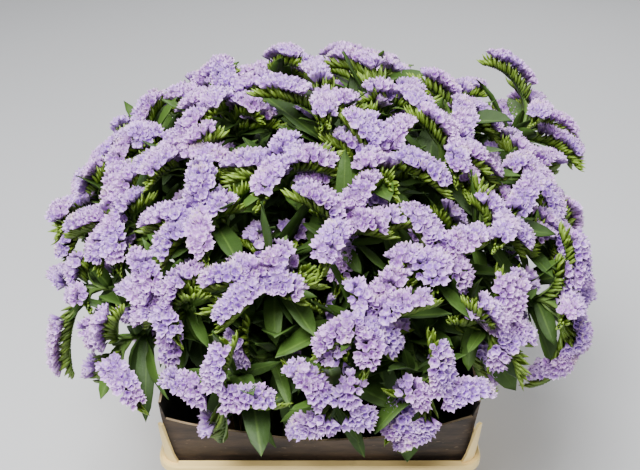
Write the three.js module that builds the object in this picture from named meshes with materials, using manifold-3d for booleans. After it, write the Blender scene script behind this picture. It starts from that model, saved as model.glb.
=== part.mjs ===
// A bucket of cut statice: winged green stems that stand in a plastic bucket with a cardboard collar,
// and fan out over its rim into a heap of papery lilac flower combs.
// Millimetres, +Z up, the origin in the middle of the bucket's underside, the viewer's side towards -Y.
import * as THREE from "three";
import { mergeVertices } from "three/addons/utils/BufferGeometryUtils.js";
import Module from "manifold-3d";

const wasm = await Module();
wasm.setup();

// Driving dimensions of the bucket, which is a tapered box with a flange and four corner posts
const BUCKET = {
  foot: [256, 356],
  top: [288, 388],
  flange: [300, 400],
  wall: 3,
  floor: 4,
  height: 200,
  flangeDepth: 9,
  postHeight: 46,
  postWidth: 12,
  cornerRadius: 14,
};

// The folded cardboard collar that stands in the bucket: its outline at the foot and at the corners' top
const COLLAR = {
  foot: [245, 345],
  top: [285, 385],
  board: 3.2,
  cornerHeight: 265,
  frontDip: 42,
  sideRise: 14,
  cornerRadius: 4,
};

// The heap of flowers is an ellipsoid above the bucket: its centre and half sizes
const HEAP = { centre: [0, 10, 290], half: [266, 282, 208] };

// Each spray is one forking stem with three heads. A head is its bearing round the bucket in degrees (0 faces
// the viewer, 90 is the viewer's right), its rise above the heap's waist in degrees, and, where it stands out
// or hangs back, its reach as a share of the heap's size.
const SPRAYS = [
  // the viewer's side
  [[-19, 10], [3, 9], [10, 28]],
  [[21, 9], [38, 18], [29, 38]],
  [[56, 15, 1.03], [69, 27], [51, 38]],
  [[-46, 9], [-34, 26], [-63, 14]],
  [[-12, 36], [-34, 46], [-15, 61]],
  [[7, 48], [26, 62], [4, 79]],
  // the two ends
  [[-60, 36], [-57, 55], [-85, 26]],
  [[86, 37], [59, 57], [100, 57]],
  [[-89, 47], [247, 57], [-79, 70]],
  [[81, 74], [150, 62], [206, 60, 0.92]],
  [[88, 12], [116, 10], [112, 33, 1.13]],
  // the back
  [[144, 10], [172, 10], [138, 35]],
  [[200, 10], [180, 34], [222, 34]],
  [[228, 10], [254, 9], [252, 33]],
];
const REACH = 0.97;

// A comb is one curved flower spike: a row of florets that lean left and right by turns
const COMB = {
  perHead: 4,
  firstFloret: 19,
  pitch: [15, 18],
  longest: 82,
  margin: 11,
  startLift: [-2, 36],
  droopRadius: [62, 125],
  swerveRadius: [180, 400],
  mostTilt: 0.12,
  upright: 1.3,
  hubRadius: 11,
  room: 0.85,
  lowest: 255,
};

// A floret is a funnel with two spread lobes and a dished mouth, joined to the next one at a narrow waist
const FLORET = { radius: 14.5, waist: 8.5, height: 14, keel: 6, dish: 5, lean: 2.5, ruffle: 1.8, end: 13 };

// The green bracts under a comb are a keeled bed with a tooth under each floret and a bud at the tip
const BED = { tooth: 10, waist: 4.5, toothLift: 2.2, keel: 8, tip: 15, tipLift: 3, gap: 1.1, hubDepth: 30 };

// A stem is winged: a flat three-edged section from the bucket's floor to the fork, and on to each head
const STEM = {
  wing: 10,
  core: 5.4,
  rootShare: 0.4,
  forkShare: 0.52,
  steps: 5,
  branchSteps: 3,
  stop: 2.5,
  squareOn: 42,
};

// The leaves under a head stand round the branch like a star, each folded along its rib
const LEAF = {
  perHead: 5,
  length: [50, 74],
  width: 19,
  below: 38,
  slope: 0.35,
  thickness: 3.2,
  notchDrop: 4,
  margin: 4,
};

const GREEN = new THREE.MeshStandardMaterial({ color: 0x4a6b2a, roughness: 0.7, metalness: 0 });
const LILAC = new THREE.MeshStandardMaterial({ color: 0xb9a2e0, roughness: 0.8, metalness: 0 });
const CREAM = new THREE.MeshStandardMaterial({ color: 0xe6cf9c, roughness: 0.45, metalness: 0 });
const CARDBOARD = new THREE.MeshStandardMaterial({ color: 0x3a302b, roughness: 0.8, metalness: 0 });

const radians = THREE.MathUtils.degToRad;

// Random draws from one seed, the same on every run
function drawer(seed) {
  let state = seed;
  return (low, high) => {
    state = (state * 16807) % 2147483647;
    return low + ((high - low) * state) / 2147483647;
  };
}

// A closed geometry as a solid that can be joined and cut
function solidOf(geometry) {
  const bare = geometry.clone();
  bare.deleteAttribute("normal");
  bare.deleteAttribute("uv");
  const merged = mergeVertices(bare, 1e-4);
  return new wasm.Manifold(
    new wasm.Mesh({
      numProp: 3,
      vertProperties: merged.attributes.position.array,
      triVerts: new Uint32Array(merged.index.array),
    }),
  );
}

function meshOf(solid, name, material) {
  const made = solid.getMesh();
  const geometry = new THREE.BufferGeometry();
  geometry.setAttribute("position", new THREE.BufferAttribute(made.vertProperties, 3));
  geometry.setIndex(new THREE.BufferAttribute(made.triVerts, 1));
  geometry.computeVertexNormals();
  const mesh = new THREE.Mesh(geometry, material);
  mesh.name = name;
  return mesh;
}

// The faces between two rings of point numbers, each ring counter-clockwise seen from the second.
// A ring of one point closes to a tip.
function band(from, to) {
  const many = Math.max(from.length, to.length);
  const faces = [];
  for (let i = 0; i < many; i++) {
    const next = (i + 1) % many;
    if (from.length > 1) faces.push(from[i], from[next], to[next % to.length]);
    if (to.length > 1) faces.push(from[i % from.length], to[next], to[i]);
  }
  return faces;
}

function geometryOf(points, faces) {
  const geometry = new THREE.BufferGeometry().setFromPoints(points);
  geometry.setIndex(faces);
  return geometry;
}

// A closed skin over rings of points. Each end is one point, or the last ring is joined to the first.
function skin(rings, looped = false) {
  let count = 0;
  const numbered = rings.map((ring) => ring.map(() => count++));
  const faces = numbered.slice(1).flatMap((ring, i) => band(numbered[i], ring));
  if (looped) faces.push(...band(numbered.at(-1), numbered[0]));
  return geometryOf(rings.flat(), faces);
}

// A rounded rectangle's outline at a height, counter-clockwise seen from above
function rectangleRing([width, depth], radius, z, cornerSteps = 3) {
  const ring = [];
  for (let corner = 0; corner < 4; corner++) {
    const right = corner === 0 || corner === 3 ? 1 : -1;
    const back = corner < 2 ? 1 : -1;
    for (let step = 0; step <= cornerSteps; step++) {
      const turn = radians(90 * (corner + step / cornerSteps));
      ring.push(
        new THREE.Vector3(
          right * (width / 2 - radius) + radius * Math.cos(turn),
          back * (depth / 2 - radius) + radius * Math.sin(turn),
          z,
        ),
      );
    }
  }
  return ring;
}

// The bucket: tapered walls, a flange round the top, and corner posts left by a wide notch in each side
function makeBucket() {
  const { foot, top, flange, wall, floor, height, flangeDepth, cornerRadius: r } = BUCKET;
  const { postHeight, postWidth } = BUCKET;
  const slope = (top[0] - foot[0]) / (2 * (height - flangeDepth));
  const rising = (z, inset) => top.map((side) => side - 2 * (inset + slope * (height - flangeDepth - z)));
  const crown = height + postHeight;
  const shell = skin([
    [new THREE.Vector3(0, 0, 0)],
    rectangleRing(rising(0, 0), r, 0),
    rectangleRing(rising(height - flangeDepth, 0), r, height - flangeDepth),
    rectangleRing(flange, r + 6, height - flangeDepth),
    rectangleRing(flange, r + 6, height),
    rectangleRing(rising(height, 0), r, height),
    rectangleRing(rising(crown, 0), r, crown),
    rectangleRing(rising(crown, wall), r - wall, crown),
    rectangleRing(rising(floor, wall), r - wall, floor),
    [new THREE.Vector3(0, 0, floor)],
  ]);
  let bucket = solidOf(shell);
  // The notch is narrower at its foot, and its two lower corners are rounded
  const notch = (width) => {
    const shape = new THREE.Shape();
    const fillet = 9;
    const low = width / 2;
    const high = low + 7;
    shape.moveTo(-low + fillet, 0);
    shape.lineTo(low - fillet, 0);
    shape.quadraticCurveTo(low, 0, low + 1, fillet);
    shape.lineTo(high, postHeight + 1);
    shape.lineTo(-high, postHeight + 1);
    shape.lineTo(-low - 1, fillet);
    shape.quadraticCurveTo(-low, 0, -low + fillet, 0);
    return shape;
  };
  for (const [side, turn] of [
    [top[0] - 2 * postWidth, 0],
    [top[1] - 2 * postWidth, 90],
  ]) {
    const through = flange[1] + 100;
    const settings = { depth: through, bevelEnabled: false, curveSegments: 3 };
    const cutter = new THREE.ExtrudeGeometry(notch(side), settings);
    cutter.translate(0, 0, -through / 2);
    cutter.rotateX(radians(90));
    cutter.rotateZ(radians(turn));
    cutter.translate(0, 0, height);
    bucket = bucket.subtract(solidOf(cutter));
  }
  return meshOf(bucket, "bucket", CREAM);
}

// The collar: four panels of board with a hollow top edge in front and behind, and raised sides
function makeCollar() {
  const { foot, top, board, cornerHeight, frontDip, sideRise, cornerRadius: r } = COLLAR;
  const sideSteps = 6;
  const start = BUCKET.floor + 0.4;
  const flare = (top[0] - foot[0]) / (2 * (cornerHeight - start));
  const edgeHeight = (along, front) => cornerHeight + (front ? -frontDip : sideRise) * (1 - along ** 2);
  const outline = (inset, heightAt) => {
    const ring = [];
    for (let side = 0; side < 4; side++) {
      const front = side % 2 === 1;
      const length = front ? foot[0] : foot[1];
      for (let step = 0; step <= sideSteps; step++) {
        const along = -1 + (2 * step) / sideSteps;
        const z = heightAt(along, front);
        const grown = 2 * flare * (z - start);
        const half = front ? (foot[0] + grown) / 2 : (foot[1] + grown) / 2;
        const away = (front ? foot[1] : foot[0]) / 2 + grown / 2 - inset;
        const slide = along * (half - r);
        const turn = radians(90 * side);
        ring.push(
          new THREE.Vector3(
            away * Math.cos(turn) - slide * Math.sin(turn),
            away * Math.sin(turn) + slide * Math.cos(turn),
            z,
          ),
        );
      }
    }
    return ring;
  };
  const flat = () => start;
  const outer = [outline(0, flat), outline(0, edgeHeight)];
  const inner = [outline(board, edgeHeight), outline(board, flat)];
  const shell = skin([...outer, ...inner], true);
  return meshOf(solidOf(shell), "collar", CARDBOARD);
}

// A head's place and frame: +Z of the frame points out of the heap, and +X runs down the heap's side
function headFrame([bearing, rise, reach = REACH]) {
  const turn = radians(bearing);
  const lift = radians(rise);
  const flat = reach * Math.cos(lift);
  const [a, b, c] = HEAP.half;
  const offset = new THREE.Vector3(
    a * flat * Math.sin(turn),
    -b * flat * Math.cos(turn),
    c * reach * Math.sin(lift),
  );
  const out = new THREE.Vector3(offset.x / a ** 2, offset.y / b ** 2, offset.z / c ** 2).normalize();
  const across = new THREE.Vector3(0, 0, 1).cross(out).normalize();
  const down = new THREE.Vector3().crossVectors(across, out);
  const frame = new THREE.Matrix4().makeBasis(down, across, out);
  return frame.setPosition(offset.add(new THREE.Vector3(...HEAP.centre)));
}

// A comb's curve in its head's frame: it leaves the head at a slant, arches over and swerves aside, and rolls
// so that its florets face the sky as far as they can.
// The point, its left side and the way the florets stand there, at a distance along it.
function combFrame(comb, s) {
  const slope = comb.lift - s / comb.droop;
  const bearing = comb.angle + s / comb.swerve;
  const middle = comb.angle + s / comb.swerve / 2;
  const flat = comb.droop * (Math.sin(comb.lift) - Math.sin(slope));
  const point = new THREE.Vector3(
    flat * Math.cos(middle),
    flat * Math.sin(middle),
    comb.droop * (Math.cos(slope) - Math.cos(comb.lift)),
  );
  const tilt = Math.min(slope, COMB.mostTilt);
  const level = new THREE.Vector3(Math.cos(bearing), Math.sin(bearing), 0);
  const forward = level.clone().multiplyScalar(Math.cos(tilt)).setZ(Math.sin(tilt));
  const up = new THREE.Vector3(0, 0, Math.cos(tilt)).addScaledVector(level, -Math.sin(tilt));
  const skyward = comb.sky.clone().addScaledVector(forward, -forward.dot(comb.sky));
  const roll = COMB.upright * THREE.MathUtils.clamp((s - COMB.hubRadius) / 25, 0, 1);
  up.addScaledVector(skyward, roll).normalize();
  return { point, side: up.clone().cross(forward), up };
}

// A test of whether a point in a frame keeps a margin to the borders of the other frames' shares of the heap
function roomIn(frame, frames, margin) {
  const inward = frame.clone().invert();
  const others = frames
    .filter((other) => other !== frame)
    .map((other) => new THREE.Vector3().setFromMatrixPosition(other).applyMatrix4(inward));
  const toBorder = (point, other) =>
    (point.distanceToSquared(other) - point.lengthSq()) / (2 * other.length());
  return (point) => others.every((other) => toBorder(point, other) > margin);
}

// How far a comb's florets can run before they come near another head's share of the heap, or hang too low
function combReach(comb, frame, hasRoom) {
  const clearAt = (s) => {
    const { point, up } = combFrame(comb, s);
    const top = point.clone().addScaledVector(up, FLORET.height);
    return hasRoom(top) && point.applyMatrix4(frame).z > COMB.lowest;
  };
  let reach = COMB.firstFloret;
  while (reach < COMB.longest && clearAt(reach + 2)) reach += 2;
  return reach;
}

// The combs of one head, spread round it, each with as many florets as there is room for
function combsOf(frame, index) {
  const many = COMB.perHead;
  const draw = drawer(7919 * (index + 1) + 104729);
  draw(0, 1);
  const hasRoom = roomIn(frame, headFrames, COMB.margin);
  const inward = frame.clone().invert();
  const first = draw(-45, 45);
  const combs = [];
  for (let j = 0; j < many; j++) {
    const comb = {
      angle: radians(first + (360 * j) / many + draw(-9, 9)),
      lift: radians(draw(...COMB.startLift)),
      droop: draw(...COMB.droopRadius),
      swerve: draw(...COMB.swerveRadius) * (draw(0, 1) < 0.5 ? -1 : 1),
      sky: new THREE.Vector3(0, 0, 1).transformDirection(inward),
    };
    const row = combReach(comb, frame, hasRoom) - COMB.firstFloret;
    comb.florets = 1 + Math.floor(row / COMB.pitch[0]);
    comb.pitch = Math.min(row / Math.max(comb.florets - 1, 1), COMB.pitch[1]);
    combs.push(comb);
  }
  combs.forEach((comb, j) => {
    const next = combs[(j + 1) % many];
    comb.notch = (comb.angle + next.angle + (next === combs[0] ? 2 * Math.PI : 0)) / 2;
  });
  combs.forEach((comb, j) => {
    const before = combs.at(j - 1).notch - (j === 0 ? 2 * Math.PI : 0);
    comb.room = COMB.room * Math.tan(Math.min(comb.notch - comb.angle, comb.angle - before));
  });
  return combs;
}

// One head's green or its lilac, as one mesh: a hub that runs out into an arm along each comb.
// The hub's foot and crown are on its axis, and its rim has a notch between each two combs. Every arm starts
// from a ring of the notch on its right, a keel, and the notch on its left.
function headGeometry(combs, hub, addArm) {
  const points = [];
  const faces = [];
  const number = (point) => points.push(point) - 1;
  const place = (comb, s, across, height) => {
    const { point, side, up } = combFrame(comb, s);
    return number(point.addScaledVector(side, across).addScaledVector(up, height));
  };
  const crown = number(new THREE.Vector3(0, 0, hub.crown));
  const foot = number(new THREE.Vector3(0, 0, hub.foot));
  const notches = combs.map(({ notch }) =>
    number(new THREE.Vector3(COMB.hubRadius * Math.cos(notch), COMB.hubRadius * Math.sin(notch), hub.rim)),
  );
  combs.forEach((comb, j) => {
    const right = notches.at(j - 1);
    const left = notches[j];
    const keel = place(comb, COMB.hubRadius, 0, hub.keel);
    faces.push(crown, right, left, foot, keel, right, foot, left, keel);
    addArm(comb, [right, keel, left], place, faces);
  });
  return geometryOf(points, faces);
}

// The lilac of one head
function makeFlorets(combs, index, name) {
  const draw = drawer(6607 * (index + 1) + 15485);
  draw(0, 1);
  const { radius, waist, height, keel, dish, lean, ruffle, end } = FLORET;
  const rim = () => height + draw(-ruffle, ruffle);
  // Each floret is two fans of faces: one from its mouth to its rim, and one from its rim to its point
  const addArm = (comb, start, place, faces) => {
    let [right, keelBefore, left] = start;
    for (let i = 0; i < comb.florets; i++) {
      const s = COMB.firstFloret + i * comb.pitch;
      const aside = i % 2 ? -lean : lean;
      const spread = Math.min(radius, s * comb.room - lean);
      const mouth = place(comb, s, aside, height - dish);
      const tip = place(comb, s, aside, 0);
      const rightLobe = place(comb, s, aside - spread, rim());
      const leftLobe = place(comb, s, aside + spread, rim());
      const last = i + 1 === comb.florets;
      const middle = s + comb.pitch / 2;
      const ahead = last
        ? [place(comb, s + end, 0, rim())]
        : [
            place(comb, middle, -waist, rim()),
            place(comb, middle, 0, keel),
            place(comb, middle, waist, rim()),
          ];
      const rimAhead = last ? ahead : [ahead[0], ahead[2]];
      const upper = [right, rightLobe, ...rimAhead, leftLobe, left];
      const lower = [right, keelBefore, left, leftLobe, ...ahead.toReversed(), rightLobe];
      upper.forEach((corner, k) => faces.push(mouth, corner, upper[(k + 1) % upper.length]));
      lower.forEach((corner, k) => faces.push(tip, corner, lower[(k + 1) % lower.length]));
      [right, keelBefore, left] = ahead;
    }
  };
  const hub = { crown: height - dish, foot: 0, rim: height, keel };
  return meshOf(solidOf(headGeometry(combs, hub, addArm)), name, LILAC);
}

// The green under one head's combs
function bedsSolid(combs) {
  const { tooth, waist, toothLift, keel, tip, tipLift, gap, hubDepth } = BED;
  const addArm = (comb, start, place, faces) => {
    let ring = start;
    for (let i = 0; i < comb.florets; i++) {
      const s = COMB.firstFloret + i * comb.pitch;
      const toothLeft = i % 2 === 0;
      const next = [
        place(comb, s, toothLeft ? -waist : -tooth, (toothLeft ? 0 : toothLift) - gap),
        place(comb, s, 0, -keel - gap),
        place(comb, s, toothLeft ? tooth : waist, (toothLeft ? toothLift : 0) - gap),
      ];
      faces.push(...band(ring, next));
      ring = next;
    }
    const last = COMB.firstFloret + (comb.florets - 1) * comb.pitch;
    faces.push(...band(ring, [place(comb, last + tip, 0, tipLift - gap)]));
  };
  const hub = { crown: -gap, foot: -hubDepth, rim: -gap, keel: -keel };
  return solidOf(headGeometry(combs, hub, addArm));
}

// Where a spray's stem forks: under the middle of its heads, part of the way out from the heap's centre.
// +Z of the frame points on towards the heads.
function forkFrame(heads) {
  const centre = new THREE.Vector3(...HEAP.centre);
  const middle = new THREE.Vector3();
  for (const head of heads) middle.add(new THREE.Vector3().setFromMatrixPosition(head).sub(centre));
  middle.divideScalar(heads.length);
  const upward = new THREE.Vector3(0, 0, 1);
  const turn = new THREE.Quaternion().setFromUnitVectors(upward, middle.clone().normalize());
  const frame = new THREE.Matrix4().makeRotationFromQuaternion(turn);
  return frame.setPosition(centre.addScaledVector(middle, STEM.forkShare));
}

// The stem from the bucket's floor, upright at first and then bent out towards the fork
function stemCurve(frame) {
  const fork = new THREE.Vector3().setFromMatrixPosition(frame);
  const direction = new THREE.Vector3().setFromMatrixColumn(frame, 2);
  const root = new THREE.Vector3(fork.x * STEM.rootShare, fork.y * STEM.rootShare, BUCKET.floor + 0.4);
  const rise = fork.z - root.z;
  const upright = root.clone().add(new THREE.Vector3(0, 0, rise * 0.5));
  const bent = fork.clone().addScaledVector(direction, -rise * 0.3);
  return new THREE.CubicBezierCurve3(root, upright, bent, fork);
}

// A branch from inside the stem below the fork to a head, which it meets squarely
function branchCurve(fork, head, below) {
  const start = new THREE.Vector3(0, 0, -below).applyMatrix4(fork);
  const end = new THREE.Vector3(0, 0, -STEM.stop).applyMatrix4(head);
  const far = start.distanceTo(end);
  return new THREE.CubicBezierCurve3(
    start,
    new THREE.Vector3(0, 0, far * 0.35 - below).applyMatrix4(fork),
    new THREE.Vector3(0, 0, -Math.max(far * 0.35, STEM.squareOn)).applyMatrix4(head),
    end,
  );
}

function stemSolid(curve, steps) {
  const wings = new THREE.Shape();
  wings.moveTo(STEM.wing / 2, -STEM.core / 3);
  wings.lineTo(0, (STEM.core * 2) / 3);
  wings.lineTo(-STEM.wing / 2, -STEM.core / 3);
  wings.closePath();
  return solidOf(new THREE.ExtrudeGeometry(wings, { steps, extrudePath: curve }));
}

// A star of leaves round a stem, from inside the stem outwards. A leaf is shortened until it has room.
function leavesSolid(draw, hasRoom) {
  const ring = [];
  const first = draw(0, 360);
  for (let i = 0; i < LEAF.perHead; i++) {
    const turn = radians(first + (360 * (i + draw(-0.15, 0.15))) / LEAF.perHead);
    const tipAt = (length) =>
      new THREE.Vector3(length * Math.cos(turn), length * Math.sin(turn), length * LEAF.slope - LEAF.below);
    let length = draw(...LEAF.length);
    while (length > 20 && !hasRoom(tipAt(length))) length -= 2;
    const notch = radians(first + (360 * (i + 0.5)) / LEAF.perHead);
    ring.push(tipAt(length));
    const low = -LEAF.below - LEAF.notchDrop;
    ring.push(new THREE.Vector3(LEAF.width * Math.cos(notch), LEAF.width * Math.sin(notch), low));
  }
  const middle = (z) => [new THREE.Vector3(0, 0, z - LEAF.below)];
  return solidOf(skin([middle(-LEAF.thickness), ring, middle(0)]));
}

// The green of one spray: the forked winged stem, leaves under the fork and under each head, and the bracts
function makeGreens(fork, heads, combsByHead, index, name) {
  const draw = drawer(4409 * (index + 1) + 32452);
  draw(0, 1);
  let green = stemSolid(stemCurve(fork), STEM.steps);
  green = green.add(leavesSolid(draw, roomIn(fork, forkFrames, LEAF.margin)).transform(fork.elements));
  heads.forEach((head, i) => {
    green = green.add(stemSolid(branchCurve(fork, head, 5 + 4 * i), STEM.branchSteps));
    green = green.add(bedsSolid(combsByHead[i]).transform(head.elements));
    green = green.add(leavesSolid(draw, roomIn(head, headFrames, LEAF.margin)).transform(head.elements));
  });
  return meshOf(green, name, GREEN);
}

const headFrames = SPRAYS.flat().map(headFrame);
const forkFrames = SPRAYS.map((heads, spray) => forkFrame(headFrames.slice(3 * spray, 3 * spray + 3)));

const statice = new THREE.Group();
statice.add(makeBucket(), makeCollar());
forkFrames.forEach((fork, spray) => {
  const letter = String.fromCharCode(97 + spray);
  const heads = headFrames.slice(3 * spray, 3 * spray + 3);
  const combs = heads.map((head, i) => combsOf(head, 3 * spray + i));
  statice.add(makeGreens(fork, heads, combs, spray, "spray_" + letter));
  heads.forEach((head, i) => {
    const florets = makeFlorets(combs[i], 3 * spray + i, `florets_${letter}${i + 1}`);
    florets.applyMatrix4(head);
    statice.add(florets);
  });
});

export default statice;
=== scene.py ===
from itertools import pairwise
from math import atan2, ceil, cos, floor, hypot, pi, radians, sin
from types import SimpleNamespace

import bmesh
import bpy
from mathutils import Matrix, Vector


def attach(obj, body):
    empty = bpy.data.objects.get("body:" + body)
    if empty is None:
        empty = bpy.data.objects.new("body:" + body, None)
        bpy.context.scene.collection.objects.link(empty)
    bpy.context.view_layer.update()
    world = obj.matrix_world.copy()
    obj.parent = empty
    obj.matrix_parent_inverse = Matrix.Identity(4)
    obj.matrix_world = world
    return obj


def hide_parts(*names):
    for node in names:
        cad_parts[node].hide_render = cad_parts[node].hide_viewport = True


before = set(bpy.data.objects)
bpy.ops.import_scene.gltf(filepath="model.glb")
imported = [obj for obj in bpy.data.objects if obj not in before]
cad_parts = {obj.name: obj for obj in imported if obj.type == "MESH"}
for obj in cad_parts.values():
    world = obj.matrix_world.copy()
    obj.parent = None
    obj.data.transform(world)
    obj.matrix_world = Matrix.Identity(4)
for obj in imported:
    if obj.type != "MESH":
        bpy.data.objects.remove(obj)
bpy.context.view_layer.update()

# Lengths are in millimetres up to the moment a piece is made
METRES = Matrix.Scale(0.001, 4)

# The layout of the heap, the same as in the part's source
HEAP_CENTRE = Vector((0, 10, 290))
HEAP_HALF = (266, 282, 208)
REACH = 0.97

# The tub: its outer sides across X and Y at the foot, the top and the flange, and heights from its underside.
# A post narrows from its foot to its tip by the lean
BUCKET = SimpleNamespace(
    foot=(256, 356),
    top=(288, 388),
    flange=(300, 400),
    wall=3,
    floor=4,
    height=200,
    flange_depth=9,
    post_height=46,
    post_width=9,
    post_lean=7,
    corner=14,
)

# The folded board: its sides at the foot and at the corners' tops, the level where it starts, and how far its
# front and back dip and its ends rise between the corners
COLLAR = SimpleNamespace(
    foot=(245, 345),
    top=(285, 385),
    start=4.4,
    corner_height=265,
    front_dip=42,
    side_rise=14,
    corner=2.5,
    board=2.4,
)

# The three heads of each spray, each with its bearing, its rise and, where it isn't REACH, its reach
SPRAYS = {
    "a": [(-19, 10), (3, 9), (10, 28)],
    "b": [(21, 9), (38, 18), (29, 38)],
    "c": [(56, 15, 1.03), (69, 27), (51, 38)],
    "d": [(-46, 9), (-34, 26), (-63, 14)],
    "e": [(-12, 36), (-34, 46), (-15, 61)],
    "f": [(7, 48), (26, 62), (4, 79)],
    "g": [(-60, 36), (-57, 55), (-85, 26)],
    "h": [(86, 37), (59, 57), (100, 57)],
    "i": [(-89, 47), (247, 57), (-79, 70)],
    "j": [(81, 74), (150, 62), (206, 60, 0.92)],
    "k": [(88, 12), (116, 10), (112, 33, 1.13)],
    "l": [(144, 10), (172, 10), (138, 35)],
    "m": [(200, 10), (180, 34), (222, 34)],
    "n": [(228, 10), (254, 9), (252, 33)],
}

# The combs and the leaves of the solids
COMBS_PER_HEAD = 4
FIRST_FLORET = 19
CAD_PITCH = (15, 18)
CAD_FLORET_HEIGHT = 14
CAD_TILT = 0.12
COMB_END = 8
COMB_MARGIN = 11
LONGEST_COMB = 82
LOWEST_COMB = 255
REACH_STEP = 2
HUB_RADIUS = 11
FORK_SHARE = 0.52
ROOT_SHARE = 0.4
ROOT_GAP = 0.4
STEM_STOP = 2.5
SQUARE_ON = 42
LEAVES_PER_STAR = 5
LEAF_LENGTH = (50, 74)
LEAF_BELOW = 38
LEAF_SLOPE = 0.35
LEAF_MARGIN = 4

# The florets' own shape, and their rows along a comb: how far aside a row is rooted, its lean in degrees, and
# its start
FLORET_HEIGHT = 12.4
FLORET_RIM = 3.9
FLORET_PLEATS = 12
FLORET_FLARES = (0.8, 0.92, 1.0, 1.06, 1.15)
FLORET_ROWS = ((2.2, 31, 0), (-2.2, -31, 1.2), (0.8, 10, 2.4), (-0.8, -10, 3.6))
FLORET_PITCH = 4.2

# The length of comb that the florets take up, and the first and last place where they start
ROW_LENGTH = (30, 50)
ROW_START = (9, 34)

# The bracts' lengths and widths and their pitch, how far below the florets' roots they and their spine lie,
# where a spine comes up from its branch, and the distance between its points
BRACT_SIZES = ((16, 2.2), (18, 1.9), (14, 2.5))
BRACT_PITCH = 3.2
SPINE_DROP = 8.5
SPINE_START = 12
SPINE_STEP = 9

# The leaf shapes' length, before a leaf is scaled, and their widths
LEAF_SHAPE_LENGTH = 70
LEAF_WIDTHS = (17, 24, 14, 29)

# How strongly a comb rolls towards the sky, the length in which it does, and how steeply it may climb
UPRIGHT = 2.4
ROLL_LENGTH = 25
MOST_TILT = 0.6

# What fills the heap up: the small combs' depths below a head, their margin to the next head's share of the
# heap and the shares of their length in bloom, the height under which a head keeps only the deeper ones, and
# the leafy stems round each fork
LOWER_COMBS = (22, 40, 62)
LOWER_MARGIN = 3
SMALL_BLOOMS = (0.45, 0.9, 1, 1)
OPEN_BELOW = 345
SIDE_STEMS = 6

# The turn in degrees from one leaf or lower comb to the next round a stem
GOLDEN_TURN = 137.5

# The columns of faces round the tub and the collar
WALL_COLUMNS = 160

# The stage, in metres and degrees: the camera stands where the photo was taken from
CAMERA_PLACE = (0, -0.848, 0.82)
CAMERA_TURN = (60, 0, 0)
CAMERA_LENS = 53.4
LIT_POINT = (0, 0, 0.3)
FLOOR_HALF = 6

# Material slots of the green meshes and of the collar
STEM, LEAF, BRACT = range(3)
PRINTED, SHADED_INSIDE, RAW_EDGE = range(3)


class Draw:
    """Random draws from one seed, the same on every run."""

    FACTOR = 16807
    MOST = 2147483647

    def __init__(self, seed):
        self.state = seed
        self(0, 1)

    def __call__(self, low, high):
        self.state = self.state * self.FACTOR % self.MOST
        return low + (high - low) * self.state / self.MOST

    def pick(self, choices):
        return choices[min(floor(self(0, len(choices))), len(choices) - 1)]


def axes(x, y, z):
    return Matrix((x, y, z)).transposed().to_4x4()


def pointing(direction, top):
    """The turn that lays +X along a direction, with +Z as near as it can be to the top."""
    x = direction.normalized()
    y = top.cross(x).normalized()
    return axes(x, y, x.cross(y))


def turned(degrees, axis):
    return Matrix.Rotation(radians(degrees), 4, axis)


def moved(x, y, z):
    return Matrix.Translation((x, y, z))


# The heads, the forks and the combs


def head_frame(bearing, rise, reach=REACH):
    """A head's place: +Z points out of the heap, and +X runs down the heap's side."""
    turn, lift = radians(bearing), radians(rise)
    flat = reach * cos(lift)
    a, b, c = HEAP_HALF
    offset = Vector((a * flat * sin(turn), -b * flat * cos(turn), c * reach * sin(lift)))
    out = Vector((offset.x / a**2, offset.y / b**2, offset.z / c**2)).normalized()
    across = Vector((0, 0, 1)).cross(out).normalized()
    return Matrix.Translation(HEAP_CENTRE + offset) @ axes(across.cross(out), across, out)


def fork_frame(heads):
    """Where a spray's stem forks: under the middle of its heads, with +Z towards them."""
    middle = sum((head.translation - HEAP_CENTRE for head in heads), Vector()) / len(heads)
    turn = Vector((0, 0, 1)).rotation_difference(middle)
    return Matrix.Translation(HEAP_CENTRE + FORK_SHARE * middle) @ turn.to_matrix().to_4x4()


def comb_place(comb, s, most_tilt=MOST_TILT):
    """The place at a distance along a comb: +X runs on along it, +Y to its left, and +Z up.
    A comb rolls over so that its florets face the sky as far as they can."""
    slope = comb.lift - s / comb.droop
    bearing = comb.angle + s / comb.swerve
    middle = comb.angle + s / comb.swerve / 2
    flat = comb.droop * (sin(comb.lift) - sin(slope))
    point = Vector((flat * cos(middle), flat * sin(middle), comb.droop * (cos(slope) - cos(comb.lift))))
    tilt = min(slope, most_tilt)
    forward = Vector((cos(bearing) * cos(tilt), sin(bearing) * cos(tilt), sin(tilt)))
    up = forward.cross(Vector((-sin(bearing), cos(bearing), 0)))
    skyward = comb.sky - forward * forward.dot(comb.sky)
    rolled = min(max((s - HUB_RADIUS) / ROLL_LENGTH, 0), 1)
    up = (up + skyward * UPRIGHT * rolled).normalized()
    return Matrix.Translation(comb.base + point) @ axes(forward, up.cross(forward), up)


def room_in(frame, frames, margin):
    """A test of whether a point in a frame keeps clear of the other frames' shares of the heap."""
    inward = frame.inverted()
    others = [inward @ other.translation for other in frames if other is not frame]

    def has_room(point):
        to_borders = (((point - o).length_squared - point.length_squared) / (2 * o.length) for o in others)
        return all(border > margin for border in to_borders)

    return has_room


def comb_reach(comb, head, has_room, start=FIRST_FLORET):
    """How far a comb can run before it comes near another head's share of the heap, or hangs too low."""
    reach = start
    while reach < LONGEST_COMB:
        ahead = comb_place(comb, reach + REACH_STEP, CAD_TILT)
        low = (head @ ahead).translation.z <= LOWEST_COMB
        if low or not has_room(ahead @ Vector((0, 0, CAD_FLORET_HEIGHT))):
            break
        reach += REACH_STEP
    return reach


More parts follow.
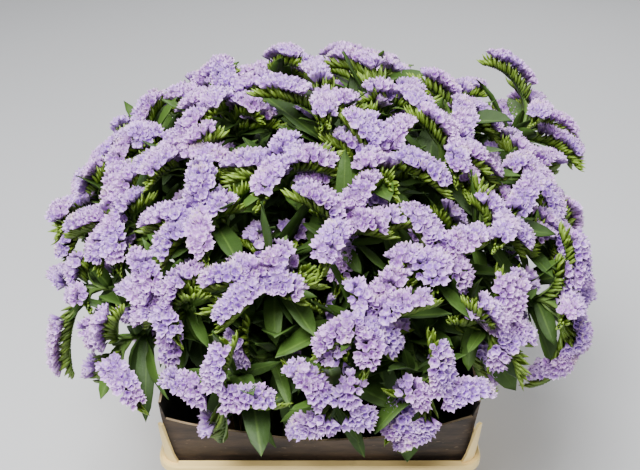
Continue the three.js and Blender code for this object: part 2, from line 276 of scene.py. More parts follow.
def combs_of(head, index):
    """The combs of one head, as the part's source lays them out, each with its length."""
    draw = Draw(7919 * (index + 1) + 104729)
    has_room = room_in(head, head_frames, COMB_MARGIN)
    first = draw(-45, 45)
    combs = []
    for j in range(COMBS_PER_HEAD):
        comb = SimpleNamespace(
            angle=radians(first + 360 * j / COMBS_PER_HEAD + draw(-9, 9)),
            lift=radians(draw(-2, 36)),
            droop=draw(62, 125),
            swerve=draw(180, 400) * (-1 if draw(0, 1) < 0.5 else 1),
            depth=0,
            base=Vector(),
            sky=sky_in(head),
            bloom=1,
        )
        row = comb_reach(comb, head, has_room) - FIRST_FLORET
        gaps = floor(row / CAD_PITCH[0])
        comb.length = FIRST_FLORET + min(row, gaps * CAD_PITCH[1]) * min(gaps, 1) + COMB_END
        comb.start = min(max(comb.length - draw(*ROW_LENGTH), ROW_START[0]), ROW_START[1])
        combs.append(comb)
    return combs


def sky_in(head):
    """The upward direction in a head's frame."""
    return head.row[2].xyz


def small_comb(head, line, draw, turn, lift, droop, depth, start):
    """One of the combs that fill a head up, rooted on its branch at a depth below the head.
    Its lift and droop are drawn from their ranges."""
    return SimpleNamespace(
        angle=radians(turn),
        lift=radians(draw(*lift)),
        droop=draw(*droop),
        swerve=draw(140, 280) * draw.pick((-1, 1)),
        depth=depth,
        base=down_branch(line, depth),
        sky=sky_in(head),
        start=start,
        bloom=draw.pick(SMALL_BLOOMS),
    )


def upper_combs(head, line, draw):
    """Short combs that rise from the middle of a head and arch over."""
    first = draw(0, 360)
    turns = () if head.translation.z < OPEN_BELOW else (first, first + draw(120, 240))
    for turn in turns:
        shape = {"lift": (48, 66), "droop": (34, 50), "depth": draw(8, 16), "start": ROW_START[0]}
        comb = small_comb(head, line, draw, turn, **shape)
        comb.length = draw(38, 52)
        yield comb


def lower_combs(head, line, draw):
    """Combs lower on the branch, each as long as there is room for, the lowest in the heap's shade."""
    has_room = room_in(head, head_frames, LOWER_MARGIN)
    first = draw(0, 360)
    depths = LOWER_COMBS[1:] if head.translation.z < OPEN_BELOW else LOWER_COMBS
    for j, depth in enumerate(depths):
        turn = first + GOLDEN_TURN * j + draw(-15, 15)
        shape = {"lift": (15, 45), "droop": (60, 110), "depth": depth + draw(-4, 4), "start": 20}
        comb = small_comb(head, line, draw, turn, **shape)
        comb.length = min(comb_reach(comb, head, has_room, 24), draw(46, 72))
        yield comb


def down_branch(line, depth):
    """The point of a branch's line at a depth below its head, both in the head's frame."""
    for above, below in pairwise(reversed(line)):
        step = (below - above).length
        if step >= depth:
            break
        depth -= step
    return above.lerp(below, min(depth / step, 1))


def bezier(points, steps):
    """Points along a cubic Bezier curve."""
    a, b, c, d = points
    for step in range(steps + 1):
        t = step / steps
        yield a * (1 - t) ** 3 + b * 3 * t * (1 - t) ** 2 + c * 3 * t**2 * (1 - t) + d * t**3


def stem_line(fork, end, root_shares, steps):
    """A stem's line, upright from the bucket's floor and then bent out to its end near a fork."""
    root = Vector((end.x * root_shares[0], end.y * root_shares[1], BUCKET.floor + ROOT_GAP))
    rise = end.z - root.z
    bent = end - fork.col[2].xyz * rise * 0.3
    return list(bezier((root, root + Vector((0, 0, rise * 0.5)), bent, end), steps))


def stem_points(fork, steps):
    return stem_line(fork, fork.translation, (ROOT_SHARE, ROOT_SHARE), steps)


def branch_points(fork, head, below, steps):
    """A branch's line from the fork to a head, which it meets squarely."""
    start = fork @ Vector((0, 0, -below))
    end = head @ Vector((0, 0, -STEM_STOP))
    far = (end - start).length
    leaving = fork @ Vector((0, 0, far * 0.35 - below))
    arriving = head @ Vector((0, 0, -max(far * 0.35, SQUARE_ON)))
    return list(bezier((start, leaving, arriving, end), steps))


# Shapes that are planted many times, each a small closed mesh with its own attributes:
# along runs from its root to its tip, across from its rib to its edge, and tint is one value a copy


def swept(outline, stations, pointed=False):
    """A closed skin: an outline in the YZ plane, placed by each station's matrix in turn."""
    bm = bmesh.new()
    cap = bm.faces.new([bm.verts.new(stations[0] @ Vector((0, y, z))) for y, z in outline])
    for station in stations[1:]:
        cap = bmesh.ops.extrude_discrete_faces(bm, faces=[cap])["faces"][0]
        for vert, (y, z) in zip(cap.verts, outline):
            vert.co = station @ Vector((0, y, z))
    if pointed:
        bmesh.ops.pointmerge(bm, verts=cap.verts[:], merge_co=stations[-1].translation)
    rim = [edge for edge in bm.edges if edge.is_boundary]
    bmesh.ops.holes_fill(bm, edges=rim)
    bmesh.ops.recalc_face_normals(bm, faces=bm.faces[:])
    return bm


def shape_of(bm, name, along, across, slot=0):
    """Keeps a shape as a mesh, with the values of its attributes at each point."""
    layers = [bm.verts.layers.float.new(key) for key in ("along", "across", "tint")]
    for vert, far, aside in zip(bm.verts, along, across):
        vert[layers[0]] = far
        vert[layers[1]] = aside
    for face in bm.faces:
        face.material_index = slot
        face.smooth = True
    mesh = bpy.data.meshes.new(name)
    bm.to_mesh(mesh)
    bm.free()
    return mesh


def floret_shape(number, flare):
    """A papery pleated funnel with a ragged rim, spun from its outer and inner profile. The profile's keys
    are the values of along at its points."""
    draw = Draw(331 * number + 17)
    rim = FLORET_RIM * flare
    profile = {0: (0, 0), 1: (rim, FLORET_HEIGHT), 0.6: (rim * 0.5, FLORET_HEIGHT - 2.6), 0.05: (0, 6.6)}
    bm = bmesh.new()
    for r, z in profile.values():
        bm.verts.new((r, 0, z))
    for pair in pairwise(bm.verts[:]):
        bm.edges.new(pair)
    line = bm.verts[:] + bm.edges[:]
    turn = {"cent": (0, 0, 0), "axis": (0, 0, 1), "angle": 2 * pi}
    bmesh.ops.spin(bm, geom=line, steps=FLORET_PLEATS, use_merge=True, **turn)
    bmesh.ops.remove_doubles(bm, verts=bm.verts[:], dist=0.01)
    bmesh.ops.recalc_face_normals(bm, faces=bm.faces[:])
    along_at = {round(z, 3): share for share, (r, z) in profile.items()}
    along = [along_at[round(vert.co.z, 3)] for vert in bm.verts]
    across = []
    for vert, share in zip(bm.verts, along):
        fold = round(atan2(vert.co.y, vert.co.x) / (2 * pi / FLORET_PLEATS)) % 2
        across.append(fold)
        if share > 0.5:
            out = 1 + share * ((-0.08, 0.08)[fold] + draw(-0.14, 0.14))
            drop = share * ((-0.8, 0.8)[fold] + draw(-0.7, 0.7))
            vert.co = (vert.co.x * out, vert.co.y * out, vert.co.z + drop)
    for edge in bm.edges:
        edge.smooth = not all(along[vert.index] > 0.5 for vert in edge.verts)
    return shape_of(bm, f"floret_{number}", along, across)


def bract_shape(number, length, width):
    """A pointed scale, keeled below and hollow above, that curves up from its root along +X."""
    draw = Draw(577 * number + 91)
    outline = ((1, 0.55), (0, -0.15), (-1, 0.55), (0, -0.75))
    stations = []
    for share, wide in ((0, 0.55), (0.35, 1), (0.72, 0.72), (1, 0.1)):
        lift = length * 0.3 * share**2 + draw(-0.2, 0.2)
        scale = Matrix.Diagonal((1, wide * width, wide * width, 1))
        stations.append(moved(length * share, 0, lift) @ turned(-28 * share, "Y") @ scale)
    bm = swept(outline, stations, pointed=True)
    along = [vert.co.x / length for vert in bm.verts]
    across = [min(abs(vert.co.y) / width, 1) for vert in bm.verts]
    return shape_of(bm, f"bract_{number}", along, across, BRACT)


def leaf_shape(number, width):
    """A lance-shaped blade along +X, folded along its rib, with waved edges."""
    draw = Draw(811 * number + 43)
    length = LEAF_SHAPE_LENGTH
    bend, twist, wave, phase = draw(-0.1, 0.25), draw(-0.35, 0.35), draw(0.6, 1.6), draw(0, 6)
    bm = bmesh.new()
    bmesh.ops.create_grid(bm, x_segments=7, y_segments=2, size=0.5)
    for vert in bm.verts:
        share, side = vert.co.x + 0.5, 2 * vert.co.y
        half = width * (share + 0.12) ** 0.7 * max(1 - share, 0) ** 0.62 * 0.9
        if share > 0.999:
            half = 0
        y = half * side
        z = abs(y) * 0.42 + wave * sin(9 * share + phase + 2 * side) * abs(side) - bend * length * share**2
        angle = twist * share
        vert.co = (length * share, y * cos(angle) - z * sin(angle), y * sin(angle) + z * cos(angle))
    bmesh.ops.remove_doubles(bm, verts=bm.verts[:], dist=0.01)
    bmesh.ops.recalc_face_normals(bm, faces=bm.faces[:])
    bmesh.ops.solidify(bm, geom=bm.faces[:], thickness=0.6)
    along = [vert.co.x / length for vert in bm.verts]
    aside = (hypot(vert.co.y, vert.co.z + bend * length * far**2) for vert, far in zip(bm.verts, along))
    across = [min(distance / width / 0.6, 1) for distance in aside]
    return shape_of(bm, f"leaf_{number}", along, across, LEAF)


def spine_shape(points, radius, tip_radius, wing):
    """A winged stem along a line of points, thinner towards its end."""
    outline = ((1 + wing, 0), (0.6, 0.75), (-0.6, 0.75), (-1 - wing, 0), (-0.5, -0.8), (0.5, -0.8))
    stations = []
    top = Vector((0, 0, 1))
    for i, point in enumerate(points):
        ahead = points[min(i + 1, len(points) - 1)] - points[max(i - 1, 0)]
        turn = pointing(ahead, top)
        top = turn.col[2].xyz
        share = i / (len(points) - 1)
        size = radius + (tip_radius - radius) * share
        ripple = 1 + 0.25 * sin(2.3 * i + points[0].x) * min(wing, 1)
        stations.append(Matrix.Translation(point) @ turn @ Matrix.Diagonal((1, size * ripple, size, 1)))
    bm = swept(outline, stations)
    wings = [1.0 if i % len(outline) in (0, 3) else 0.0 for i in range(len(bm.verts))]
    return shape_of(bm, "spine", [0.0] * len(wings), wings, STEM)


def plant(bm, shape, place, tint):
    """Adds a copy of a shape at a place, with a tint of its own."""
    copy = shape.copy()
    copy.transform(place)
    copy.attributes["tint"].data.foreach_set("value", [tint] * len(copy.vertices))
    bm.from_mesh(copy)
    bpy.data.meshes.remove(copy)


# What grows on a comb


def plant_florets(bm, head, comb, draw, tint):
    """The rows of florets on a comb, leaning out to both sides and forward at its end."""
    for aside, lean, start in FLORET_ROWS:
        s = comb.start + start
        while s < comb.start + comb.bloom * (comb.length - comb.start):
            share = (s - comb.start) / (comb.length - comb.start)
            forward = 6 + 40 * max(share - 0.55, 0) / 0.45 + draw(-9, 9)
            place = comb_place(comb, s) @ moved(0, aside, 0.5) @ turned(-lean + draw(-8, 8), "X")
            place = place @ turned(forward, "Y") @ turned(draw(0, 72), "Z")
            size = draw(0.9, 1.1) * (1 - 0.25 * max(share - 0.75, 0) / 0.25)
            shade = min(max(tint + draw(-0.3, 0.3), 0), 1)
            plant(bm, draw.pick(florets), head @ place @ Matrix.Scale(size, 4), shade)
            s += FLORET_PITCH + draw(-0.8, 0.8)


def plant_bracts(bm, head, comb, draw):
    """Two rows of keeled scales that rise from the comb's spine round the florets' roots."""
    for side in (-1, 1):
        s = max(comb.start - 14, 6) + side
        while s < comb.length + 9:
            end = max((s - comb.length + 6) / 15, 0)
            direction = Vector((0.8 + 1.4 * end, side * (0.52 - 0.25 * end), 0.7 - 0.3 * end))
            direction += Vector((draw(-0.3, 0.3), draw(-0.18, 0.18), draw(-0.2, 0.2)))
            turn = pointing(direction, Vector((0.25, -side, 1)))
            place = comb_place(comb, s) @ moved(-2, side * 0.8, -SPINE_DROP) @ turn
            size = draw(0.9, 1.15) * (1 - 0.3 * end)
            youth = min(0.3 + 0.7 * (s / comb.length) ** 2 + draw(-0.15, 0.15), 1)
            plant(bm, draw.pick(bracts), head @ place @ Matrix.Scale(size, 4), youth)
            s += BRACT_PITCH + draw(-0.5, 0.5)


def plant_spine(bm, head, line, comb, order):
    """The comb's own stem, which leaves the branch below the comb and runs along under it."""
    low = down_branch(line, comb.depth + 32 - 2 * order)
    turn = down_branch(line, comb.depth + 10)
    first = comb_place(comb, SPINE_START) @ Vector((0, 0, -SPINE_DROP))
    back = comb_place(comb, 4) @ Vector((0, 0, -SPINE_DROP - 2))
    points = list(bezier((low, turn, back, first), 4))
    steps = ceil((comb.length - SPINE_START) / SPINE_STEP)
    for step in range(1, steps + 1):
        s = SPINE_START + (comb.length + 5 - SPINE_START) * step / steps
        points.append(comb_place(comb, s) @ Vector((0, 0, -SPINE_DROP + 2 * step / steps)))
    spine = spine_shape([head @ point for point in points], radius=1.5, tip_radius=0.8, wing=1.6)
    plant(bm, spine, Matrix(), 0.6)


# The materials


class Wire:
    """A shader socket that can stand in a Python expression: each operation adds its node."""

    def __init__(self, shader, socket):
        self.shader = shader
        self.socket = socket

    def __add__(self, other):
        return self.shader.maths("ADD", self, other)

    def __rsub__(self, other):
        return self.shader.maths("SUBTRACT", other, self)

    def __mul__(self, other):
        return self.shader.maths("MULTIPLY", self, other)


class Shader:
    """A material that is built node by node."""

    def __init__(self, name):
        self.material = bpy.data.materials.new(name)
        self.material.use_nodes = True
        self.tree = self.material.node_tree
        self.tree.nodes.clear()

    def node(self, kind, settings, values, output=0):
        """Adds a node with its settings, then the values or links of its sockets, and gives an output."""
        node = self.tree.nodes.new(kind)
        for key, value in settings.items():
            setattr(node, key, value)
        for key, value in values.items():
            if isinstance(value, Wire):
                self.tree.links.new(value.socket, node.inputs[key])
            else:
                node.inputs[key].default_value = value
        return Wire(self, node.outputs[output])

    def maths(self, operation, first, second):
        return self.node("ShaderNodeMath", {"operation": operation}, {0: first, 1: second})

    def between(self, wire, low, high):
        """A smooth step from 0 at the low value to 1 at the high one."""
        settings = {"interpolation_type": "SMOOTHSTEP"}
        return self.node("ShaderNodeMapRange", settings, {"Value": wire, "From Min": low, "From Max": high})

    def mix(self, share, first, second):
        settings = {"data_type": "RGBA", "clamp_factor": True}
        return self.node("ShaderNodeMix", settings, {0: share, 6: first, 7: second}, output=2)

    def attribute(self, name):
        return self.node("ShaderNodeAttribute", {"attribute_name": name}, {}, output=2)

    def place(self):
        return self.node("ShaderNodeTexCoord", {}, {}, output=3)

    def noise(self, scale, detail=2.0, vector=None):
        values = {"Vector": vector or self.place(), "Scale": scale, "Detail": detail}
        return self.node("ShaderNodeTexNoise", {}, values)

    def bump(self, height, distance, strength):
        return self.node("ShaderNodeBump", {}, {"Height": height, "Distance": distance, "Strength": strength})

    def principled(self, values):
        return self.node("ShaderNodeBsdfPrincipled", {}, values)

    def finish(self, surface):
        output = self.tree.nodes.new("ShaderNodeOutputMaterial")
        self.tree.links.new(surface.socket, output.inputs["Surface"])
        return self.material


def colour(red, green, blue):
    """A colour from the 0 to 255 values that a screen shows."""

    def linear(value):
        share = value / 255
        return share / 12.92 if share <= 0.04045 else ((share + 0.055) / 1.055) ** 2.4

    return (linear(red), linear(green), linear(blue), 1)


def floret_material():
    """Thin lilac paper with a pale rim, cream patches, brown specks and light from behind. Painted highlights
    whiten the crumples' ridges, and painted shade darkens their hollows, every other pleat's fold and the
    throats that show no cream corolla.
    """
    shader = Shader("papery_lilac")
    along, across, tint = (shader.attribute(name) for name in ("along", "across", "tint"))
    drift = shader.between(shader.noise(28, 1), 0.35, 0.65)
    cool = shader.mix(tint, colour(160, 106, 216), colour(206, 152, 250))
    warm = shader.mix(tint, colour(186, 116, 212), colour(228, 168, 246))
    body = shader.mix(drift, cool, warm)
    rim = shader.between(along, 0.72, 1)
    crumple_and_painted_light = shader.noise(330, 4)
    # Painted highlights whiten the crumples' ridges, and painted shade darkens their hollows; the same noise
    # bumps the paper
    body = shader.mix(shader.between(crumple_and_painted_light, 0.5, 0.6) * 0.75, body, colour(250, 226, 255))
    body = shader.mix(shader.between(crumple_and_painted_light, 0.46, 0.34) * 0.45, body, colour(154, 112, 190))
    body = shader.mix(rim * 0.5, body, colour(252, 228, 255))
    cream = shader.between(shader.noise(75, 2), 0.58, 0.72) * rim
    body = shader.mix(cream * 0.75, body, colour(242, 228, 206))
    # Painted shade: darker violet in every other pleat's fold, between the throat and the rim
    painted_fold_shade = across * shader.between(along, 0.3, 0.62) * (1 - rim)
    body = shader.mix(painted_fold_shade * 0.3, body, colour(164, 134, 192))
    # Painted shade deep in each throat, dark violet, except where the floret's tint gives it a cream corolla
    throat_shade_or_corolla = 1 - shader.between(along, 0.06, 0.45)
    centre = shader.mix(shader.between(tint, 0.72, 0.8), colour(84, 52, 92), colour(246, 238, 222))
    body = shader.mix(throat_shade_or_corolla * 0.9, body, centre)
    specks = shader.between(shader.noise(240, 1), 0.66, 0.72) * rim
    body = shader.mix(specks * 0.7, body, colour(96, 66, 70))
    normal = shader.bump(crumple_and_painted_light, 0.001, 0.7)
    finish = {"Roughness": 0.7, "Specular IOR Level": 0.3}
    solid = shader.principled({"Base Color": body, "Normal": normal, **finish})
    glow = shader.node("ShaderNodeBsdfTranslucent", {}, {"Color": colour(224, 210, 234)})
    both = shader.node("ShaderNodeMixShader", {}, {0: 0.34, 1: solid, 2: glow})
    return shader.finish(both)


def leaf_material():
    """A mottled dark green with a paler rib and edge; the tint makes a leaf younger."""
    shader = Shader("leaf_green")
    along, across, tint = (shader.attribute(name) for name in ("along", "across", "tint"))
    mottle = shader.noise(60, 3)
    dark = shader.mix(mottle, colour(28, 46, 16), colour(52, 78, 28))
    body = shader.mix(tint, dark, colour(74, 106, 34))
    rib = 1 - shader.between(across, 0.02, 0.16)
    body = shader.mix(rib * 0.45, body, colour(98, 128, 56))
    body = shader.mix(shader.between(across, 0.8, 1) * 0.3, body, colour(112, 140, 66))
    normal = shader.bump(shader.noise(400, 3), 0.0008, 0.5)
    finish = {"Roughness": 0.6, "Specular IOR Level": 0.3}
    return shader.finish(shader.principled({"Base Color": body, "Normal": normal, **finish}))


def bract_material():
    """Green scales with paler, papery edges, yellower where the tint makes them young, and darker towards
    each root as painted shade under the florets.
    """
    shader = Shader("bract_green")
    along, across, tint = (shader.attribute(name) for name in ("along", "across", "tint"))
    # Painted shade: each scale is darker at its root, deep under the florets, and lighter towards its tip
    old = shader.mix(along, colour(48, 70, 20), colour(88, 114, 36))
    young = shader.mix(along, colour(66, 94, 22), colour(120, 148, 40))
    body = shader.mix(tint, old, young)
    body = shader.mix(shader.between(across, 0.6, 1) * 0.4, body, colour(140, 156, 72))
    return shader.finish(shader.principled({"Base Color": body, "Roughness": 0.55}))


def stem_material():
    shader = Shader("stem_green")
    across, tint = (shader.attribute(name) for name in ("across", "tint"))
    body = shader.mix(tint, colour(52, 78, 30), colour(92, 122, 52))
    body = shader.mix(across * 0.5, body, colour(120, 146, 70))
    streak = shader.noise(300, 2)
    normal = shader.bump(streak, 0.0006, 0.5)
    return shader.finish(shader.principled({"Base Color": body, "Roughness": 0.55, "Normal": normal}))


def board_material(name, dark, light, crease):
    """Printed cardboard: scuffed in long streaks, with pale creases."""
    shader = Shader(name)
    place = shader.place()
    stretched = shader.node("ShaderNodeMapping", {}, {"Vector": place, "Scale": (1, 1, 5)})
    worn = shader.noise(7, 3, place) * 0.6 + shader.noise(40, 4, stretched) * 0.4
    body = shader.mix(shader.between(worn, 0.35, 0.68), dark, light)
    scratch = shader.between(shader.noise(130, 3, stretched), 0.66, 0.74)
    body = shader.mix(scratch * 0.5, body, crease)
    normal = shader.bump(shader.noise(90, 3, stretched), 0.001, 0.5)
    return shader.finish(shader.principled({"Base Color": body, "Roughness": 0.62, "Normal": normal}))


def raw_edge_material():
    shader = Shader("raw_board_edge")
    body = shader.mix(shader.noise(160, 3), colour(120, 98, 72), colour(206, 180, 142))
    return shader.finish(shader.principled({"Base Color": body, "Roughness": 0.85}))


def bucket_material():
    """Smooth cream plastic with faint smudges."""
    shader = Shader("cream_plastic")
    body = shader.mix(shader.noise(9, 4), colour(246, 210, 132), colour(254, 226, 152))
    dirt = shader.between(shader.noise(45, 5), 0.6, 0.78)
    body = shader.mix(dirt * 0.3, body, colour(176, 150, 104))
    roughness = shader.between(shader.noise(30, 3), 0.2, 0.8) * 0.15 + 0.36
    normal = shader.bump(shader.noise(120, 2), 0.0004, 0.4)
    return shader.finish(shader.principled({"Base Color": body, "Roughness": roughness, "Normal": normal}))


def floor_material():
    shader = Shader("pale_floor")
    return shader.finish(shader.principled({"Base Color": colour(188, 189, 191), "Roughness": 0.9}))


# The pieces


def piece_of(bm, name, materials, replaced):
    """Makes a piece from a mesh in millimetres, sets it on the root body, and hides the part that it
    replaces.
    """
    mesh = bpy.data.meshes.new(name)
    bm.to_mesh(mesh)
    bm.free()
    mesh.transform(METRES)
    for material in materials:
        mesh.materials.append(material)
    piece = bpy.data.objects.new(name, mesh)
    bpy.context.scene.collection.objects.link(piece)
    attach(piece, "root")
    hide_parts(replaced)
    return piece


def make_blooms(head, combs, index, node):
    """The lilac of one head, which stands for a florets node."""
    draw = Draw(6607 * (index + 1) + 15485)
    bm = bmesh.new()
    for comb in combs:
        plant_florets(bm, head, comb, draw, draw(0.1, 0.95))
    piece_of(bm, node.replace("florets", "blooms"), [lilac], node)


def plant_star(bm, place, draw, has_room):
    """A star of leaves round a stem, each shortened until it has room."""
    first = draw(0, 360)
    for i in range(LEAVES_PER_STAR):
        turn = radians(first + 360 * (i + draw(-0.15, 0.15)) / LEAVES_PER_STAR)
        direction = Vector((cos(turn), sin(turn), LEAF_SLOPE))
        root = Vector((0, 0, -LEAF_BELOW))
        length = draw(*LEAF_LENGTH)
        while length > 20 and not has_room(root + direction * length):
            length -= 2
        size = length * direction.length / LEAF_SHAPE_LENGTH
        stand = Matrix.Translation(root) @ pointing(direction, Vector((0, 0, 1)))
        plant(bm, leaves[i % len(leaves)], place @ stand @ Matrix.Scale(size, 4), 0.2 + 0.12 * i)


def plant_leaves(bm, points, draw, lengths, tints, start=0):
    """Leaves by turns round a stem's line, each leaning out from it and bowing down."""
    for i in range(start, len(points) - 1):
        ahead = (points[i + 1] - points[i]).normalized()
        out = ahead.orthogonal().normalized()
        out.rotate(Matrix.Rotation(radians(GOLDEN_TURN * i + draw(-25, 25)), 3, ahead))
        direction = ahead * draw(0.2, 0.9) + out
        stand = Matrix.Translation(points[i]) @ pointing(direction, Vector((0, 0, 1)))
        size = draw(*lengths) / LEAF_SHAPE_LENGTH
        plant(bm, draw.pick(leaves), stand @ Matrix.Scale(size, 4), draw(*tints))


def plant_side_stems(bm, fork, draw):
    """Thinner stems with dark leaves beside a spray's own, which fill the inside of the heap."""
    for j in range(SIDE_STEMS):
        turn = 2 * pi * (j + draw(-0.3, 0.3)) / SIDE_STEMS
        away = draw(30, 100)
        end = fork @ Vector((away * cos(turn), away * sin(turn), draw(-25, 55)))
        points = stem_line(fork, end, (draw(0.35, 0.6), draw(0.35, 0.6)), 12)
        stem = spine_shape(points, radius=2.4, tip_radius=1.2, wing=1)
        plant(bm, stem, Matrix(), draw(0, 0.4))
        plant_leaves(bm, points, draw, lengths=(48, 90), tints=(0, 0.3), start=5)


def make_greens(letter, fork, heads, lines, combs_by_head, index):
    """The stem, the branches, the leaves and the bracts of one spray."""
    draw = Draw(4409 * (index + 1) + 32452)
    bm = bmesh.new()
    stem = stem_points(fork, 14)
    plant(bm, spine_shape(stem, radius=2.8, tip_radius=2.2, wing=0.9), Matrix(), 0.2)
    plant_star(bm, fork, draw, room_in(fork, fork_frames, LEAF_MARGIN))
    plant_leaves(bm, stem, draw, lengths=(50, 88), tints=(0, 0.4), start=7)
    plant_side_stems(bm, fork, draw)
    for i, head in enumerate(heads):
        branch = [head @ point for point in lines[i]]
        plant(bm, spine_shape(branch, radius=2.2, tip_radius=1.6, wing=1.1), Matrix(), 0.4)
        plant_leaves(bm, branch[:6], draw, lengths=(62, 96), tints=(0, 0.3))
        plant_leaves(bm, branch[5:], draw, lengths=(34, 60), tints=(0.1, 0.7))
        plant_leaves(bm, branch[2:-1], draw, lengths=(52, 84), tints=(0, 0.5))
        plant_star(bm, head, draw, room_in(head, head_frames, LEAF_MARGIN))
        for order, comb in enumerate(combs_by_head[i]):
            plant_spine(bm, head, lines[i], comb, order)
            plant_bracts(bm, head, comb, draw)
    piece_of(bm, f"greens_{letter}", [stem_green, leaf_green, bract_green], f"spray_{letter}")


def make_spray(letter, fork, heads, index):
    """The three heads of one spray and its green part, with the solids' combs and the small ones between."""
    draw = Draw(991 * (index + 1) + 77)
    lines, combs_by_head = [], []
    for i, head in enumerate(heads):
        inward = head.inverted()
        line = [inward @ point for point in branch_points(fork, head, 5 + 4 * i, 11)]
        combs = combs_of(head, 3 * index + i)
        combs += [*lower_combs(head, line, draw), *upper_combs(head, line, draw)]
        make_blooms(head, combs, 3 * index + i, f"florets_{letter}{i + 1}")
        lines.append(line)
        combs_by_head.append(combs)
    make_greens(letter, fork, heads, lines, combs_by_head, index)


def outline_point(u, width, depth, corner):
    """A point on a rounded rectangle's outline, from the middle of the +X side and round by +Y. It comes with
    the side's number and with its share of the way from the side's middle to the corner."""
    quarter, share = divmod(4 * u, 1)
    a, b = (width / 2, depth / 2) if quarter % 2 == 0 else (depth / 2, width / 2)
    straight = 0.4
    if share <= straight:
        x, y = a, (b - corner) * share / straight
    elif share < 1 - straight:
        turn = radians(90) * (share - straight) / (1 - 2 * straight)
        x, y = a - corner + corner * cos(turn), b - corner + corner * sin(turn)
    else:
        x, y = (a - corner) * (1 - share) / straight, b
    point = Matrix.Rotation(radians(90 * quarter), 2) @ Vector((x, y))
    side = (quarter + (share >= 0.5)) % 4
    return point, side, min(share, 1 - share) / 0.5


def wall_of(place_at, rows, thickness=None):
    """A wall round the Z axis, from a function that places each share of the way round and of the way up.
    It is as thick as stated, inwards. One without a thickness is a closed ring, whose top meets its foot."""
    bm = bmesh.new()
    bmesh.ops.create_grid(bm, x_segments=WALL_COLUMNS, y_segments=rows, size=0.5)
    for vert in bm.verts:
        vert.co = place_at((vert.co.x + 0.5) % 1, vert.co.y + 0.5)
    bmesh.ops.remove_doubles(bm, verts=bm.verts[:], dist=0.001)
    bmesh.ops.recalc_face_normals(bm, faces=bm.faces[:])
    if thickness:
        bmesh.ops.solidify(bm, geom=bm.faces[:], thickness=thickness)
    for face in bm.faces:
        face.smooth = True
    for edge in bm.edges:
        edge.smooth = edge.calc_face_angle(0) < radians(35)
    return bm


def make_collar():
    """The folded board: sharp corners, a raw top edge, and a few soft buckles near the corners."""
    height = COLLAR.corner_height - COLLAR.start
    flare = (COLLAR.top[0] - COLLAR.foot[0]) / height

    def place_at(u, v):
        side, share = outline_point(u, *COLLAR.foot, COLLAR.corner)[1:]
        drop = -COLLAR.front_dip if side % 2 else COLLAR.side_rise
        tear = 1.3 * sin(61 * u) * sin(23 * u + 1)
        z = COLLAR.start + v * (height + drop * (1 - share**2) + tear)
        grown = flare * (z - COLLAR.start)
        buckle = v**3 * (1.1 * sin(37 * u + 4) + 0.8 * share * sin(17 * v + 60 * u))
        sides = [size + grown + 2 * buckle for size in COLLAR.foot]
        point = outline_point(u, *sides, COLLAR.corner)[0]
        return (*point, z)

    bm = wall_of(place_at, 18, COLLAR.board)
    for face in bm.faces:
        centre = face.calc_center_median()
        outward = face.normal.x * centre.x + face.normal.y * centre.y
        if abs(face.normal.z) > 0.6 and centre.z > BUCKET.height:
            face.material_index = RAW_EDGE
        # The inner faces take a darker copy of the board: painted shade inside the collar
        elif outward < 0:
            face.material_index = SHADED_INSIDE
        else:
            face.material_index = PRINTED
    piece_of(bm, "board_collar", [board_print, shaded_board_inside, raw_edge], "collar")


def make_bucket():
    """The tub: thin walls that rise to a post at each corner, a rounded flange, and a floor."""
    slope = (BUCKET.top[0] - BUCKET.foot[0]) / (BUCKET.height - BUCKET.flange_depth)

    def sides_at(z, inset=0):
        return [size + slope * z - 2 * inset for size in BUCKET.foot]

    def top_at(u):
        """The wall's top: level between the posts, with a fillet up to each post's leaning edge."""
        crown = BUCKET.height + BUCKET.post_height
        x, y = (abs(value) for value in outline_point(u, *sides_at(crown), BUCKET.corner)[0])
        insets = [half - size / 2 + BUCKET.post_width for half, size in zip((x, y), BUCKET.top)]
        climb = min(insets) / BUCKET.post_lean
        return BUCKET.height + BUCKET.post_height * min(max(climb, 0), 1) ** 1.5

    def wall_at(u, v):
        z = v * top_at(u)
        return (*outline_point(u, *sides_at(z), BUCKET.corner)[0], z)

    def flange_at(u, v):
        turn = 2 * pi * v
        middle = BUCKET.height - BUCKET.flange_depth / 2
        z = middle + BUCKET.flange_depth / 2 * max(min(1.25 * sin(turn), 1), -1)
        reach = max(min(1.25 * cos(turn), 1), -1)
        inner = sides_at(middle, 1)
        sides = [low + (high - low) * (reach + 1) / 2 for low, high in zip(inner, BUCKET.flange)]
        return (*outline_point(u, *sides, BUCKET.corner + 3 + 3 * reach)[0], z)

    def floor_at(u, v):
        sides = sides_at(2, 1)
        x, y = outline_point(u, *sides, BUCKET.corner)[0]
        return (x * v, y * v, BUCKET.floor)

    bm = wall_of(wall_at, 24, BUCKET.wall)
    for part in (wall_of(flange_at, 12), wall_of(floor_at, 2, BUCKET.floor)):
        mesh = bpy.data.meshes.new("part")
        part.to_mesh(mesh)
        part.free()
        bm.from_mesh(mesh)
        bpy.data.meshes.remove(mesh)
    piece_of(bm, "tub", [cream_plastic], "bucket")


# The stage


def make_floor():
    bm = bmesh.new()
    bmesh.ops.create_grid(bm, x_segments=1, y_segments=1, size=FLOOR_HALF)
    mesh = bpy.data.meshes.new("floor")
    bm.to_mesh(mesh)
    bm.free()
    mesh.materials.append(floor_material())
    ground = bpy.data.objects.new("floor", mesh)
    bpy.context.scene.collection.objects.link(ground)


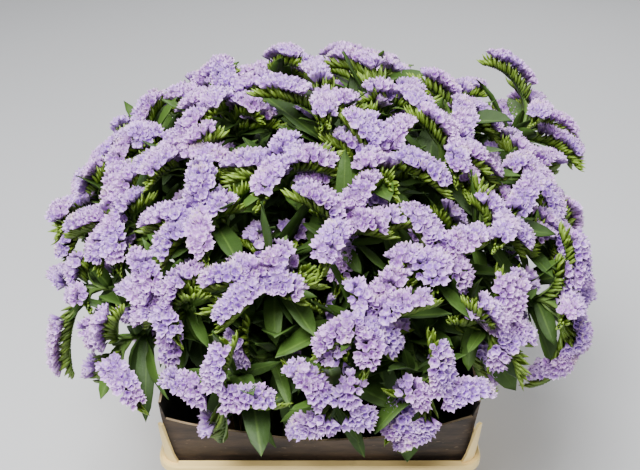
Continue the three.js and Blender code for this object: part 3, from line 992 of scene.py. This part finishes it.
def make_lamp(name, place, size, watts):
    """A soft square lamp that shines on the object."""
    lamp = bpy.data.lights.new(name, "AREA")
    lamp.size = size
    lamp.energy = watts
    stand = bpy.data.objects.new(name, lamp)
    stand.location = place
    stand.rotation_euler = (Vector(LIT_POINT) - Vector(place)).to_track_quat("-Z", "Y").to_euler()
    bpy.context.scene.collection.objects.link(stand)


def make_world(strength):
    world = bpy.data.worlds.new("soft_room")
    world.use_nodes = True
    background = world.node_tree.nodes["Background"]
    background.inputs["Color"].default_value = (0.93, 0.95, 1, 1)
    background.inputs["Strength"].default_value = strength
    bpy.context.scene.world = world


def make_camera():
    camera = bpy.data.cameras.new("camera")
    camera.lens = CAMERA_LENS
    camera.sensor_width = 36
    stand = bpy.data.objects.new("camera", camera)
    stand.location = CAMERA_PLACE
    stand.rotation_euler = [radians(angle) for angle in CAMERA_TURN]
    bpy.context.scene.collection.objects.link(stand)
    bpy.context.scene.camera = stand


florets = [floret_shape(number, flare) for number, flare in enumerate(FLORET_FLARES)]
bracts = [bract_shape(number, *size) for number, size in enumerate(BRACT_SIZES)]
leaves = [leaf_shape(number, width) for number, width in enumerate(LEAF_WIDTHS)]

lilac = floret_material()
stem_green = stem_material()
leaf_green = leaf_material()
bract_green = bract_material()
board_print = board_material("printed_board", colour(42, 34, 29), colour(92, 74, 56), colour(146, 124, 96))
# A darker copy of the printed board for the collar's inside: painted shade
shaded_board_inside = board_material("shaded_board_inside", colour(22, 19, 17), colour(40, 35, 31), colour(70, 60, 50))
raw_edge = raw_edge_material()
cream_plastic = bucket_material()

heads_by_spray = {letter: [head_frame(*at) for at in places] for letter, places in SPRAYS.items()}
head_frames = [head for heads in heads_by_spray.values() for head in heads]
fork_frames = [fork_frame(heads) for heads in heads_by_spray.values()]

for index, (letter, heads) in enumerate(heads_by_spray.items()):
    make_spray(letter, fork_frames[index], heads, index)
make_collar()
make_bucket()

make_floor()
make_lamp("key", (-0.5, -0.9, 2.3), size=1.2, watts=162)
make_lamp("fill", (1.6, -1.4, 1.5), size=2.0, watts=14)
make_lamp("back", (0.5, 1.7, 1.7), size=1.8, watts=30)
make_world(strength=0.26)
make_camera()
